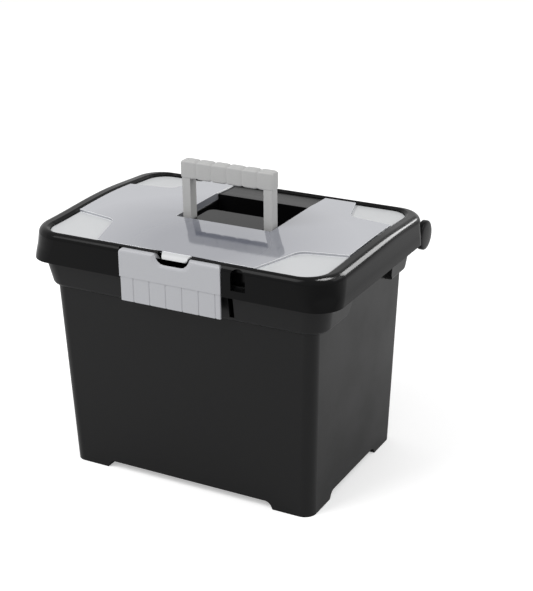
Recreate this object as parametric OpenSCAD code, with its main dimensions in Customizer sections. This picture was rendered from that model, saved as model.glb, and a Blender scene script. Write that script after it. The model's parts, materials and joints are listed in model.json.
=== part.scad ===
// Portable file box: a drafted tub with a hinged lid, a snap latch, a folding
// handle and a see-through cover over the organizer tray in the lid.
// Inside the modules, x = 0 and y = 0 are the middle of the lid and z = 0 is
// the floor. placed() then moves every piece so that the origin is under the
// middle of the whole box.

/* [Lid] */
// Length of the lid, left to right
lid_length = 381; // [378:1:384]
// Depth of the lid, front to back, without the latch and hinge heads
lid_depth = 266; // [264:1:268]
// Radius of the lid's vertical corners
lid_corner_r = 34; // [34:1:34]
// Height of the lid's top rim above the floor
lid_top = 292; // [292:1:292]
// Height of the lower edge of the lid's skirt
skirt_bottom = 258; // [256:1:259]
// Radius of the rounding between the skirt and the rim
rim_edge_r = 6; // [5:0.5:6]

/* [Tub] */
// Half of the tub's length at the floor
base_half_x = 156.5; // [155:0.5:158]
// Half of the tub's depth at the floor
base_half_y = 111; // [110:0.5:112]
// How far the tub's middle lies behind the middle of the lid
tub_offset_y = 2; // [1:0.5:3]
// Outward slope of the walls, in mm for each mm of height
draft = 0.0336; // [0.032:0.0002:0.035]
// Height of the corner feet
foot_height = 9; // [7:0.5:10]
// Length of each foot along the long sides
foot_length = 46; // [42:1:50]
// Length of each foot along the short sides
foot_depth = 48; // [44:1:52]
// Height where the collar under the lid begins
collar_bottom = 224; // [222:1:226]
// Height of the rim that the lid rests on
rim_top = 268; // [268:1:268]

/* [Latch] */
// Half of the latch's length
latch_half_x = 62.8; // [62:0.2:64]
// Height of the latch's lower edge
latch_bottom = 230; // [229:0.5:231]
// Height of the step between the smooth part and the ribbed grip
grip_top = 258; // [257:0.5:259]
// Distance between the grooves of the grip
groove_pitch = 20.4; // [20:0.1:20.6]

/* [Handle] */
// Half of the handle's outer width
handle_half_x = 58.6; // [57:0.2:58.6]
// Width of each handle leg
handle_leg = 11.5; // [10:0.5:12]
// Depth of the handle, front to back
handle_depth = 14.5; // [13:0.5:14.5]
// Height of the top of the upright handle
handle_top = 355; // [353:0.5:355]
// Height of the grip bar
grip_height = 21.5; // [19:0.5:21.5]
// Number of lobes along the grip bar
lobes = 6; // [4:1:8]

/* [Organizer cover] */
// Half of the cover's length
cover_half_x = 172.5; // [170:0.5:172.5]
// Thickness of the cover
cover_thickness = 2; // [1.8:0.1:2]
// Half of the width of the cut-out for the handle
cutout_half_x = 61.2; // [61:0.1:61.4]
// How far the four corner pads lie below the cover's middle
pad_drop = 3; // [2.5:0.1:3]

/* [Hinge] */
// Radius of the round hinge heads
hinge_head_r = 17.4; // [16:0.1:17.6]
// Radius of the hinge pins
hinge_pin_r = 3.2; // [3:0.1:3.4]

/* [Hidden] */
$fn = 64;
black = [0.13, 0.13, 0.14];
light_grey = [0.69, 0.70, 0.72];
clear_grey = [0.74, 0.76, 0.81, 0.65];
wall = 2.5;
thin = 0.2;
over = 1;
skirt_wall_x = 3;
skirt_wall_y = 2.5;
top_wall = 2.6;
slice_sides = 48;
corner_step = 7.5;
running_gap = 0.06;
seat_gap = 0.4;
// Reach of the cuts that go right through the box
far = 200;

// Lid
lid_half_x = lid_length / 2;
lid_half_y = lid_depth / 2;
rim_steps = 6;
skirt_inner_x = lid_half_x - skirt_wall_x;
skirt_inner_y = lid_half_y - skirt_wall_y;
top_plate_bottom = lid_top - top_wall;
tray_half_x = 165.5;
tray_front = -117;
tray_back = 113.5;
tray_r = 20;
tray_floor = 266;
tray_underside = 263.8;
ledge_half_x = 175.6;
ledge_front = -125.5;
ledge_back = 125;
ledge_r = 28;
ledge_underside = 283.4;
land_underside = 286.6;
rear_skirt_bottom = 266;
rib_thickness = 2;
cross_ribs = [-80, -20, 40, 90];
front_ribs = [-150, -110, 110, 150];
latch_beam_underside = 278;

// Organizer cover and its seat
cover_top = 291;
cover_underside = cover_top - cover_thickness;
cover_front = -123;
cover_back = 122;
cover_r = 24;
// Each pad's inner corner is an arc between two slanted edges
pad_arc_x = 130;
pad_arc_front = 72.8;
pad_arc_back = 83.8;
pad_arc_r = 18;
pad_side_slant = 10.2;
pad_inner_slant = 17.2;
pad_arc_steps = 8;
flange_drop = 6.7;
flange_wall = 1.6;
cutout_front = -16.4;
tab_middle_x = 4.5;
tab_half_x = 18.5;
tab_tip_half_x = 15;
tab_back = -122;
tab_bend = -123.5;
tab_tip = -131;
tab_dip = 283.5;
// The tab's side view, as steps back from its bend and up from the cover's top
tab_upper = [[-2.5, -0.6], [-5, -1.8], [-6.7, -3.4], [-7.3, -5]];
tab_lower = [[-5.9, -5.4], [-4.9, -4], [-2.5, -2.5]];
flange_back = 111;

// Handle well
well_half_x = 59.7;
well_front = -15.3;
well_back = 80.5;
well_floor = 262;
well_underside = 259.8;
well_wall_top = 282;
plateau_half_x = 45.4;
plateau_back = 34;
plateau_top = 287;
handle_pivot_z = 276;
trunnion_r = 4;
trunnion_tip = 64.5;
boss_tip = 66;
lobe_notch_r = 3;
lobe_notch_depth = 1.4;
trunnion_boss_r = 5.8;

// Latch
latch_front = -134;
latch_wall = 2.6;
latch_pivot_y = -129.5;
latch_pivot_z = 285.5;
barrel_r = 4.5;
barrel_gap = 0.4;
pocket_gap = 0.3;
pocket_side_gap = 0.5;
latch_pin_r = 1.7;
latch_pin_tip = 67.5;
notch_middle_x = 3;
notch_top_half_x = 23.5;
notch_middle_half_x = 20.5;
notch_bottom_half_x = 11.2;
notch_middle = 284;
notch_bottom = 276;
grip_inset_x = 0.4;
grip_inset_y = 0.8;
groove_width = 1;
groove_depth = 0.8;
groove_offset = 5;
groove_numbers = [-2:3];
hook_half_x = 40;
hook_back = -126.2;
hook_bottom = 233.5;
hook_top = 236.5;
ridge_front = -125.6;
ridge_back = -121;
ridge_bottom = 238;
ridge_top = 241;

// Padlock slot in the skirt, right of the latch
slot_left = 74.5;
slot_right = 92;
slot_bottom = 265;
slot_top = 289.5;

// Feet and collar of the tub
foot_wall = 5;
foot_slope = 0.6;
corner_base_r = 12;
corner_growth = 0.02;
collar_low_x = 173;
collar_low_front = -120;
collar_high_x = 180;
collar_high_front = -126;
collar_back = 121.5;
collar_r = 24;
collar_foot_inset = 1.5;
collar_foot_height = 2.5;
collar_straight = 262;
scoop_front = -50;
scoop_back = 58;
scoop_top = 247;
scoop_r = 12;
scoop_height = 60;
scoop_reach = 100;
ledge_top = 249.5;
// Slot in the front of the collar, beside the latch
collar_slot_left = 66;
collar_slot_right = 72;
collar_slot_bottom = 229;
collar_slot_back = -105;
rail_half_x = 152;
rail_half_y = 92;
rail_top = 257;

// Hinge
hinge_y = 124.8;
hinge_z = 262;
hinge_clear_r = 18.2;
ear_inner_x = 175.5;
ear_outer_x = 181.5;
ear_r = 9;
ear_front = 94;
ear_bottom = 252;
ear_top_back = 110;
lid_boss_r = 6;
lid_boss_inner_x = 168;
lid_boss_outer_x = 175.2;
web_back_gap = 2;
pin_tip_x = 166;
head_outer_x = 190.5;
pin_tip_chamfer = 0.6;
shoulder_r = 12;
shoulder_length = 1.6;
// The head's domed face, as steps in from its rim and from its outer end
dome = [[0, 2.4], [0.8, 1.2], [2.4, 0.6], [9.4, 0]];

// The middle of the whole box, from the latch's face to the hinge heads
middle_y = (latch_front + hinge_y + hinge_head_r) / 2;

function wall_x(z) = base_half_x + draft * z;
function wall_y(z) = base_half_y + draft * z;

// Puts a piece in the frame of the whole box
module placed() {
    translate([0, -middle_y, 0]) children();
}

// A quarter of a circle round x, y that starts at the angle start
function quarter(x, y, r, start) =
    [for (turn = [0:corner_step:90]) [x + r * cos(start + turn), y + r * sin(start + turn)]];

// A rounded rectangle seen from above
module plan(half_x, front, back, r) {
    polygon(concat(
        quarter(half_x - r, back - r, r, 0),
        quarter(-half_x + r, back - r, r, 90),
        quarter(-half_x + r, front + r, r, 180),
        quarter(half_x - r, front + r, r, 270)));
}

module round_block(half_x, front, back, r, low, high) {
    translate([0, 0, low]) linear_extrude(high - low) plan(half_x, front, back, r);
}

module block(left, right, front, back, low, high) {
    translate([left, front, low]) cube([right - left, back - front, high - low]);
}

// The four corners of a thin slice, for the hulls
module slice(half_x, front, back, r, z) {
    for (x = [-half_x + r, half_x - r], y = [front + r, back - r])
        translate([x, y, z]) cylinder(r = r, h = thin, $fn = slice_sides);
}

// A rod along X
module rod(r, left, right, y, z) {
    translate([left, y, z]) rotate([0, 90, 0]) cylinder(r = r, h = right - left);
}

// A side view, y across and z up, drawn out along X
module side_view(left, right) {
    translate([left, 0, 0]) rotate([90, 0, 90]) linear_extrude(right - left) children();
}

// A front view, x across and z up, drawn out along Y
module front_view(front, back) {
    translate([0, front, 0]) rotate([90, 0, 0]) mirror([0, 0, 1])
        linear_extrude(back - front) children();
}

// Its children, and the same on the other side of the box
module both_sides() {
    children();
    mirror([1, 0, 0]) children();
}

// The drafted body of the tub, drawn in by inset
module drafted(inset, low, high) {
    hull()
        for (z = [low, high - thin])
            slice(wall_x(z) - inset, tub_offset_y - wall_y(z) + inset,
                tub_offset_y + wall_y(z) - inset, corner_base_r + corner_growth * z - inset, z);
}

// The collar that carries the lid, drawn in by inset
module collar(inset, low, high) {
    hull() {
        slice(collar_low_x - collar_foot_inset - inset, collar_low_front + collar_foot_inset + inset,
            collar_back - collar_foot_inset - inset, collar_r - inset, low);
        slice(collar_low_x - inset, collar_low_front + inset, collar_back - inset, collar_r - inset,
            low + collar_foot_height);
        slice(collar_high_x - inset, collar_high_front + inset, collar_back - inset, collar_r - inset,
            collar_straight);
        slice(collar_high_x - inset, collar_high_front + inset, collar_back - inset, collar_r - inset,
            high - thin);
    }
}

// Hand scoops that leave the short walls straight between the corners
module scoops(grow) {
    both_sides()
        side_view(scoop_reach, far)
            translate([0, scoop_top + grow - scoop_height])
                translate([scoop_front - grow + scoop_r, 0]) {
                    square([scoop_back - scoop_front + 2 * grow - 2 * scoop_r, scoop_height]);
                    translate([-scoop_r, 0])
                        square([scoop_back - scoop_front + 2 * grow, scoop_height - scoop_r]);
                    translate([0, scoop_height - scoop_r]) circle(scoop_r);
                    translate([scoop_back - scoop_front + 2 * grow - 2 * scoop_r, scoop_height - scoop_r])
                        circle(scoop_r);
                }
}

// The gaps between the feet, with sloped ends
module foot_gaps() {
    gap_x = base_half_x - foot_length;
    gap_y = base_half_y - foot_depth;
    slope = foot_height * foot_slope;
    front_view(-far, far)
        polygon([[-gap_x, -over], [gap_x, -over], [gap_x, 0], [gap_x - slope, foot_height],
            [slope - gap_x, foot_height], [-gap_x, 0]]);
    translate([0, tub_offset_y, 0])
        side_view(-far, far)
            polygon([[-gap_y, -over], [gap_y, -over], [gap_y, 0], [gap_y - slope, foot_height],
                [slope - gap_y, foot_height], [-gap_y, 0]]);
}

// Hollows of the four feet, open to the inside of the tub
module foot_hollows() {
    for (x = [-1, 1], y = [-1, 1])
        translate([x * (base_half_x - foot_length / 2) - foot_length / 2 + foot_wall,
            tub_offset_y + y * (base_half_y - foot_depth / 2) - foot_depth / 2 + foot_wall, wall])
                cube([foot_length - 2 * foot_wall, foot_depth - 2 * foot_wall, foot_height + wall]);
}

// Moulded rails for hanging folders
module rails() {
    both_sides() {
        block(rail_half_x, wall_x(ledge_top) - wall / 2, -rail_half_y, rail_half_y, ledge_top - wall,
            ledge_top);
        block(rail_half_x, rail_half_x + wall, -rail_half_y, rail_half_y, ledge_top - wall, rail_top);
    }
}

// Ears that hold the hinge pins
module hinge_ears() {
    both_sides()
        side_view(ear_inner_x, ear_outer_x) {
            translate([hinge_y, hinge_z]) circle(ear_r);
            polygon([[ear_front, ear_bottom], [hinge_y, hinge_z - ear_r], [hinge_y, hinge_z + ear_r],
                [ear_top_back, rim_top], [ear_front, rim_top]]);
        }
}

module tub() {
    placed() color(black)
        difference() {
            union() {
                difference() {
                    union() {
                        drafted(0, 0, ledge_top);
                        difference() {
                            collar(0, collar_bottom, rim_top);
                            scoops(0);
                        }
                    }
                    drafted(wall, foot_height + wall, rim_top + over);
                    difference() {
                        collar(wall, collar_bottom + wall, rim_top + over);
                        scoops(wall);
                    }
                    foot_gaps();
                    foot_hollows();
                    block(collar_slot_left, collar_slot_right, -far, collar_slot_back, collar_slot_bottom,
                        skirt_bottom);
                }
                rails();
                hinge_ears();
                // Ridge that the latch snaps under
                block(-hook_half_x, hook_half_x, ridge_front, ridge_back, ridge_bottom, ridge_top);
            }
            both_sides() rod(hinge_pin_r + running_gap, pin_tip_x - over, far, hinge_y, hinge_z);
        }
}

// Outer shape of the lid with its rounded rim
module lid_shell() {
    hull() {
        slice(lid_half_x, -lid_half_y, lid_half_y, lid_corner_r, skirt_bottom);
        for (i = [0:rim_steps]) {
            turn = 90 * i / rim_steps;
            inset = rim_edge_r * (1 - cos(turn));
            slice(lid_half_x - inset, -lid_half_y + inset, lid_half_y - inset, lid_corner_r - inset,
                lid_top - rim_edge_r + rim_edge_r * sin(turn) - thin);
        }
    }
}

// The pocket that the latch lies in and swings out of
module latch_pocket() {
    reach = latch_half_x + pocket_side_gap;
    block(-reach, reach, -far, latch_front + latch_wall + pocket_gap, skirt_bottom - over, lid_top + over);
    rod(barrel_r + barrel_gap, -reach, reach, latch_pivot_y, latch_pivot_z);
    block(-reach, reach, -far, latch_pivot_y + pocket_gap, latch_pivot_z, lid_top + over);
    rod(latch_pin_r + running_gap, -latch_pin_tip - pocket_side_gap, latch_pin_tip + pocket_side_gap,
        latch_pivot_y, latch_pivot_z);
}

// The hollow under the lid, around the tray
module lid_underside() {
    difference() {
        round_block(skirt_inner_x, -skirt_inner_y, skirt_inner_y, lid_corner_r - wall,
            skirt_bottom - over, top_plate_bottom);
        round_block(ledge_half_x, ledge_front, ledge_back, ledge_r, ledge_underside, lid_top);
        round_block(tray_half_x + wall, tray_front - wall, tray_back + wall, tray_r + wall, tray_underside,
            lid_top);
        // The handle well hangs lower than the tray
        block(-well_half_x - wall, well_half_x + wall, well_front - wall, well_back + wall,
            well_underside, lid_top);
        // Thicker skirt behind the latch and around its pins
        block(-latch_pin_tip - wall, latch_pin_tip + wall, -far,
            latch_front + latch_wall + pocket_gap + wall, 0, lid_top);
        block(-latch_pin_tip - wall, latch_pin_tip + wall, -far, tray_front - over, latch_beam_underside,
            lid_top);
        // Ribs that rest on the tub's rim
        for (y = cross_ribs)
            block(-far, far, y, y + rib_thickness, rim_top, lid_top);
        for (x = front_ribs)
            block(x - rib_thickness, x, -far, 0, rim_top, lid_top);
    }
}

// The organizer tray, in front of and beside the handle well
module tray_hollow() {
    difference() {
        round_block(tray_half_x, tray_front, tray_back, tray_r, tray_floor, lid_top + over);
        block(-well_half_x - wall, well_half_x + wall, well_front - wall, far, 0, well_wall_top);
        // The land behind the well lies in the cover's cut-out
        block(-cutout_half_x + seat_gap, cutout_half_x - seat_gap, well_back, far, 0, cover_underside);
        // The plateau between the handle's legs
        block(-plateau_half_x, plateau_half_x, well_front, plateau_back, 0, plateau_top);
        both_sides() rod(trunnion_boss_r, well_half_x, boss_tip, 0, handle_pivot_z);
    }
}

// The seat that the cover lies in, deeper under the four pads
module cover_seat() {
    round_block(cover_half_x + seat_gap, cover_front - seat_gap, cover_back + seat_gap,
        cover_r + seat_gap, cover_underside, lid_top + over);
    intersection() {
        round_block(cover_half_x + seat_gap, cover_front - seat_gap, cover_back + seat_gap,
            cover_r + seat_gap, cover_underside - pad_drop, lid_top + over);
        for (x = [-1, 1], y = [-1, 1])
            pad_area(x, y, seat_gap);
    }
    // Dip in the rim under the cover's front tab
    block(tab_middle_x - tab_half_x - rib_thickness, tab_middle_x + tab_half_x + rib_thickness, -far,
        cover_front + over, tab_dip, lid_top + over);
}

// The corner at which one pad lies, grown inwards: x and y say which corner
module pad_area(x, y, grow, top = lid_top + over) {
    r = pad_arc_r + grow;
    arc_y = y < 0 ? pad_arc_front : pad_arc_back;
    first = 180 + pad_inner_slant;
    last = 270 - pad_side_slant;
    side_end = [pad_arc_x + r * cos(last) + lid_half_y * cos(pad_side_slant),
        arc_y + r * sin(last) - lid_half_y * sin(pad_side_slant)];
    inner_end = [pad_arc_x + r * cos(first) - lid_half_y * sin(pad_inner_slant),
        arc_y + r * sin(first) + lid_half_y * cos(pad_inner_slant)];
    mirror([x < 0 ? 1 : 0, 0, 0]) mirror([0, y < 0 ? 1 : 0, 0]) linear_extrude(top)
        polygon(concat(
            [for (i = [0:pad_arc_steps])
                [pad_arc_x + r * cos(first + (last - first) * i / pad_arc_steps),
                    arc_y + r * sin(first + (last - first) * i / pad_arc_steps)]],
            [side_end, [side_end[0], inner_end[1]], inner_end]));
}

module well_hollow() {
    difference() {
        block(-well_half_x, well_half_x, well_front, well_back, well_floor, lid_top + over);
        block(-plateau_half_x, plateau_half_x, well_front - over, plateau_back, well_floor - over,
            plateau_top);
    }
}

// Padlock slot with a rounded top
module padlock_slot() {
    middle = (slot_left + slot_right) / 2;
    half = (slot_right - slot_left) / 2;
    translate([middle, 0, 0]) front_view(-far, ledge_front)
        polygon(concat(
            [[-half, slot_bottom], [half, slot_bottom]],
            [for (turn = [0:2 * corner_step:180])
                [half * cos(turn), slot_top - half + half * sin(turn)]]));
}

module lid() {
    placed() color(black)
        difference() {
            union() {
                difference() {
                    lid_shell();
                    lid_underside();
                    latch_pocket();
                    cover_seat();
                    tray_hollow();
                    well_hollow();
                    // Hollow under the land behind the well
                    block(-cutout_half_x + seat_gap + wall, cutout_half_x - seat_gap - wall,
                        well_back + wall, tray_back, 0, land_underside);
                    padlock_slot();
                    // Room for the hinge: the skirt ends higher along the back
                    block(-lid_boss_outer_x - over, lid_boss_outer_x + over, collar_back + seat_gap, far,
                        skirt_bottom - over, rear_skirt_bottom);
                    both_sides() {
                        rod(hinge_clear_r, lid_boss_outer_x, far, hinge_y, hinge_z);
                        block(lid_boss_outer_x, far, hinge_y - hinge_clear_r + pocket_side_gap, far, 0,
                            hinge_z);
                    }
                }
                both_sides() {
                    rod(lid_boss_r, lid_boss_inner_x, lid_boss_outer_x, hinge_y, hinge_z);
                    block(lid_boss_inner_x, lid_boss_outer_x, hinge_y - lid_boss_r,
                        hinge_y - web_back_gap, hinge_z, top_plate_bottom + over);
                }
            }
            both_sides() {
                rod(hinge_pin_r + running_gap, pin_tip_x - over, far, hinge_y, hinge_z);
                rod(trunnion_r + running_gap, well_half_x - over, trunnion_tip + pocket_side_gap, 0,
                    handle_pivot_z);
            }
        }
}

// A flat layer of the cover with its cut-out for the handle
module cover_plan(inset) {
    difference() {
        plan(cover_half_x - inset, cover_front + inset, cover_back - inset, cover_r - inset);
        translate([-cutout_half_x - inset, cutout_front - inset])
            square([2 * (cutout_half_x + inset), far]);
    }
}

module organizer_cover() {
    placed() color(clear_grey)
        union() {
            // The raised middle
            difference() {
                translate([0, 0, cover_underside]) linear_extrude(cover_thickness) cover_plan(0);
                for (x = [-1, 1], y = [-1, 1])
                    pad_area(x, y, 0);
            }
            // The lower pads and the steps around them
            intersection() {
                translate([0, 0, cover_underside - pad_drop])
                    linear_extrude(cover_thickness + pad_drop) cover_plan(0);
                for (x = [-1, 1], y = [-1, 1])
                    difference() {
                        pad_area(x, y, 0);
                        translate([0, 0, cover_top - pad_drop]) pad_area(x, y, -flange_wall);
                    }
            }
            // Flange round the cut-out
            difference() {
                block(-cutout_half_x - flange_wall, cutout_half_x + flange_wall, cutout_front - flange_wall,
                    flange_back, cover_underside - flange_drop, cover_underside + over);
                block(-cutout_half_x, cutout_half_x, cutout_front, far, 0, lid_top);
            }
            // Front tab, bent down at its lip
            intersection() {
                translate([tab_middle_x, 0, 0])
                    side_view(-tab_half_x, tab_half_x)
                        translate([tab_bend, cover_top])
                            polygon(concat(
                                [[tab_back - tab_bend, -cover_thickness], [tab_back - tab_bend, 0], [0, 0]],
                                tab_upper, tab_lower));
                translate([tab_middle_x, 0, 0]) linear_extrude(lid_top)
                    polygon([[-tab_half_x, tab_back + over], [-tab_half_x, tab_bend],
                        [-tab_tip_half_x, tab_tip], [tab_tip_half_x, tab_tip], [tab_half_x, tab_bend],
                        [tab_half_x, tab_back + over]]);
            }
        }
}

module latch() {
    placed() color(light_grey)
        difference() {
            union() {
                rod(barrel_r, -latch_half_x, latch_half_x, latch_pivot_y, latch_pivot_z);
                block(-latch_half_x, latch_half_x, latch_front, latch_front + latch_wall, grip_top,
                    latch_pivot_z);
                block(-latch_half_x + grip_inset_x, latch_half_x - grip_inset_x, latch_front + grip_inset_y,
                    latch_front + latch_wall, latch_bottom, grip_top + over);
                // Hook behind the grip
                block(-hook_half_x, hook_half_x, latch_front + latch_wall - over, hook_back, hook_bottom,
                    hook_top);
                rod(latch_pin_r, -latch_pin_tip, latch_pin_tip, latch_pivot_y, latch_pivot_z);
            }
            // Finger notch in the upper edge
            translate([notch_middle_x, 0, 0]) front_view(-far, 0)
                polygon([[-notch_bottom_half_x, notch_bottom], [notch_bottom_half_x, notch_bottom],
                    [notch_middle_half_x, notch_middle], [notch_top_half_x, lid_top],
                    [-notch_top_half_x, lid_top], [-notch_middle_half_x, notch_middle]]);
            // Grooves between the ribs of the grip
            for (i = groove_numbers)
                translate([i * groove_pitch - groove_offset, 0, 0])
                    block(-groove_width / 2, groove_width / 2, latch_front - over,
                        latch_front + grip_inset_y + groove_depth, latch_bottom - over, grip_top);
        }
}

module handle() {
    half_depth = handle_depth / 2;
    lobe = 2 * handle_half_x / lobes;
    placed() color(light_grey)
        difference() {
            union() {
                both_sides() {
                    block(handle_half_x - handle_leg, handle_half_x, -half_depth, half_depth,
                        handle_pivot_z, handle_top - over);
                    rod(half_depth, handle_half_x - handle_leg, handle_half_x, 0, handle_pivot_z);
                    rod(trunnion_r, handle_half_x - over, trunnion_tip, 0, handle_pivot_z);
                }
                block(-handle_half_x, handle_half_x, -half_depth, half_depth, handle_top - grip_height,
                    handle_top);
            }
            // Shallow notches between the lobes
            for (i = [1:lobes - 1])
                translate([-handle_half_x + i * lobe, 0, handle_top + lobe_notch_r - lobe_notch_depth])
                    rotate([90, 0, 0]) cylinder(r = lobe_notch_r, h = 2 * handle_depth, center = true);
        }
}

// One hinge pin: a shank through the ear and the lid's boss, and a domed head
module hinge_pin() {
    translate([0, hinge_y, hinge_z]) rotate([0, 90, 0]) rotate_extrude()
        polygon(concat(
            [[0, pin_tip_x], [hinge_pin_r - pin_tip_chamfer, pin_tip_x], [hinge_pin_r, pin_tip_x + over],
                [hinge_pin_r, ear_outer_x], [shoulder_r, ear_outer_x],
                [shoulder_r, ear_outer_x + shoulder_length],
                [hinge_head_r, ear_outer_x + shoulder_length]],
            [for (step = dome) [hinge_head_r - step[0], head_outer_x - step[1]]],
            [[0, head_outer_x]]));
}

module hinge_pin_right() {
    placed() color(black) hinge_pin();
}

module hinge_pin_left() {
    placed() color(black) mirror([1, 0, 0]) hinge_pin();
}

tub();
lid();
organizer_cover();
latch();
handle();
hinge_pin_left();
hinge_pin_right();
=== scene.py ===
# %% [markdown]
# # A portable file box
# The box is a handful of moulded plastic pieces: a drafted tub, a lid on two hinge pins, a snap
# latch, a folding handle and a see-through cover over the tray in the lid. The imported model
# already holds each piece at its real size. Here every piece is shaped again with its roundings,
# ribs and finishes, in the same places, so that it moves with the same body.

import json
import math

import bmesh
import bpy
from mathutils import Matrix, Vector

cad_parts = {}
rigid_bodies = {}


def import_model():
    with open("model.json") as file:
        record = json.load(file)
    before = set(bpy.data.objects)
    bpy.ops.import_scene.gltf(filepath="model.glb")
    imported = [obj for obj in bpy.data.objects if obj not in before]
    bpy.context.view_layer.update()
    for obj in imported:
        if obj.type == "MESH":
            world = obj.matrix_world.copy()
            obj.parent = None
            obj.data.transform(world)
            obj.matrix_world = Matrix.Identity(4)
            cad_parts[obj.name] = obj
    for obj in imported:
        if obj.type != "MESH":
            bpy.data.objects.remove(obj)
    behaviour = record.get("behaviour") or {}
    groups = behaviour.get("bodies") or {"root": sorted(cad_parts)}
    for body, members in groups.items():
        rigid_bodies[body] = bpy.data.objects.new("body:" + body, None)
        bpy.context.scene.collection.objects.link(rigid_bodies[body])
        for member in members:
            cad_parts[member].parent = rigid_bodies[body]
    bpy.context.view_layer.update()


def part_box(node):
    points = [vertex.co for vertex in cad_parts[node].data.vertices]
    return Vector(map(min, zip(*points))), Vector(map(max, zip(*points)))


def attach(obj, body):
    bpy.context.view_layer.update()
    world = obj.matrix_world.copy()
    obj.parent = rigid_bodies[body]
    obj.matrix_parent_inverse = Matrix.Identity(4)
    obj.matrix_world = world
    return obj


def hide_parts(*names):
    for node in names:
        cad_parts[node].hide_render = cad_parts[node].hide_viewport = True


for leftover in list(bpy.data.objects):
    bpy.data.objects.remove(leftover)
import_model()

# %% [markdown]
# All sizes below are millimetres from the middle of the lid and the floor, because that is how one
# measures such a box with a ruler. The frame's own middle lies a little further back, since the
# hinge heads stand out behind the lid, so one function turns a ruler size into a place.

# %% Sizes and places
MM = 0.001
lid_low, lid_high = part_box("lid")
LID_MIDDLE_Y = (lid_low.y + lid_high.y) / 2
LID_X = lid_high.x / MM
LID_Y = (lid_high.y - lid_low.y) / 2 / MM
LID_TOP = lid_high.z / MM
SKIRT_BOTTOM = lid_low.z / MM


def place(x, y, z):
    """The place in the frame of a point measured from the middle of the lid and the floor."""
    return Vector((x * MM, y * MM + LID_MIDDLE_Y, z * MM))


print(f"the lid is {2 * LID_X:.0f} by {2 * LID_Y:.0f} mm and its rim is {LID_TOP:.0f} mm high")

# %% [markdown]
# The camera comes first, so that every later look at the box is from the photograph's side. It
# stands to the right and above, and looks down by 22 degrees. The lens is long, so upright edges
# lean only a little.

# %% Camera
CAMERA_PLACE = place(753.3, -1323.6, 814.5)
CAMERA_YAW, CAMERA_PITCH, CAMERA_ROLL = -0.4907, 0.3851, -0.0099
FOCAL_PIXELS, IMAGE_HEIGHT, SENSOR = 1419.65, 591, 36


def camera_axes(yaw, pitch, roll):
    """The camera's right, up and backward directions."""
    forward = Vector((math.sin(yaw) * math.cos(pitch), math.cos(yaw) * math.cos(pitch), -math.sin(pitch)))
    level = Vector((math.cos(yaw), -math.sin(yaw), 0))
    above = level.cross(forward)
    right = math.cos(roll) * level + math.sin(roll) * above
    up = -math.sin(roll) * level + math.cos(roll) * above
    return right, up, -forward


camera_data = bpy.data.cameras.new("camera")
camera_data.sensor_width = SENSOR
camera_data.lens = FOCAL_PIXELS * SENSOR / IMAGE_HEIGHT
camera_data.clip_start = 0.05
camera = bpy.data.objects.new("camera", camera_data)
bpy.context.scene.collection.objects.link(camera)
turn = Matrix(camera_axes(CAMERA_YAW, CAMERA_PITCH, CAMERA_ROLL)).transposed().to_4x4()
camera.matrix_world = Matrix.Translation(CAMERA_PLACE) @ turn
bpy.context.scene.camera = camera
bpy.context.scene.view_settings.view_transform = "Standard"
print(f"the lens is {camera_data.lens:.1f} mm")

# %% [markdown]
# Moulded pieces are boxes with rounded corners, put together and cut away. So the small tools here
# make a box, pick its edges by direction or place, round them with a bevel, and join or cut two
# solids with a Boolean. Cutting solids keeps each hole a true hole through a true wall.

# %% Helpers for solids


def box(left, right, front, back, low, high):
    """A plain box as a bmesh, in place."""
    bm = bmesh.new()
    bmesh.ops.create_cube(bm, size=1)
    size = Vector((right - left, back - front, high - low)) * MM
    bmesh.ops.scale(bm, vec=size, verts=bm.verts)
    middle = place((left + right) / 2, (front + back) / 2, (low + high) / 2)
    bmesh.ops.translate(bm, vec=middle, verts=bm.verts)
    return bm


def edges_along(bm, axis, least=0.85):
    """The edges that run mostly along one axis: 0, 1 or 2 for X, Y or Z."""
    found = []
    for edge in bm.edges:
        step = edge.verts[1].co - edge.verts[0].co
        if step.length and abs(step[axis]) / step.length > least:
            found.append(edge)
    return found


def edges_at(edges, axis, value, tolerance=0.05):
    """Those of the edges that lie wholly at one value of an axis, in millimetres."""
    target = place(value, value, value)[axis]
    return [e for e in edges if all(abs(v.co[axis] - target) < tolerance * MM for v in e.verts)]


def edges_below(bm, z):
    """The edges that lie wholly under one height."""
    return [e for e in bm.edges if all(v.co.z < z * MM for v in e.verts)]


def lay_edges(bm, axis, value):
    """Lays edges all round a solid where it crosses one value of an axis, in millimetres."""
    facing = [0, 0, 0]
    facing[axis] = 1
    bmesh.ops.bisect_plane(bm, geom=bm.verts[:] + bm.edges[:] + bm.faces[:],
        plane_co=place(value, value, value), plane_no=facing)


def round_off(bm, edges, radius, segments):
    """Rounds edges with a true radius."""
    bmesh.ops.bevel(bm, geom=edges, offset=radius * MM, offset_type="OFFSET", segments=segments, profile=0.5,
        affect="EDGES", material=-1, clamp_overlap=True)
    return bm


def rounded_box(left, right, front, back, low, high, corner, segments=12):
    """A box with rounded upright corners."""
    bm = box(left, right, front, back, low, high)
    return round_off(bm, edges_along(bm, 2), corner, segments)


def loft(outlines):
    """A closed skin over rings of places that all have the same number of points."""
    bm = bmesh.new()
    rings = [[bm.verts.new(spot) for spot in outline] for outline in outlines]
    for near, far in zip(rings, rings[1:]):
        for i, vert in enumerate(near):
            j = (i + 1) % len(near)
            bm.faces.new((vert, near[j], far[j], far[i]))
    bm.faces.new(rings[0])
    bm.faces.new(rings[-1])
    bmesh.ops.recalc_face_normals(bm, faces=bm.faces)
    return bm


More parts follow.
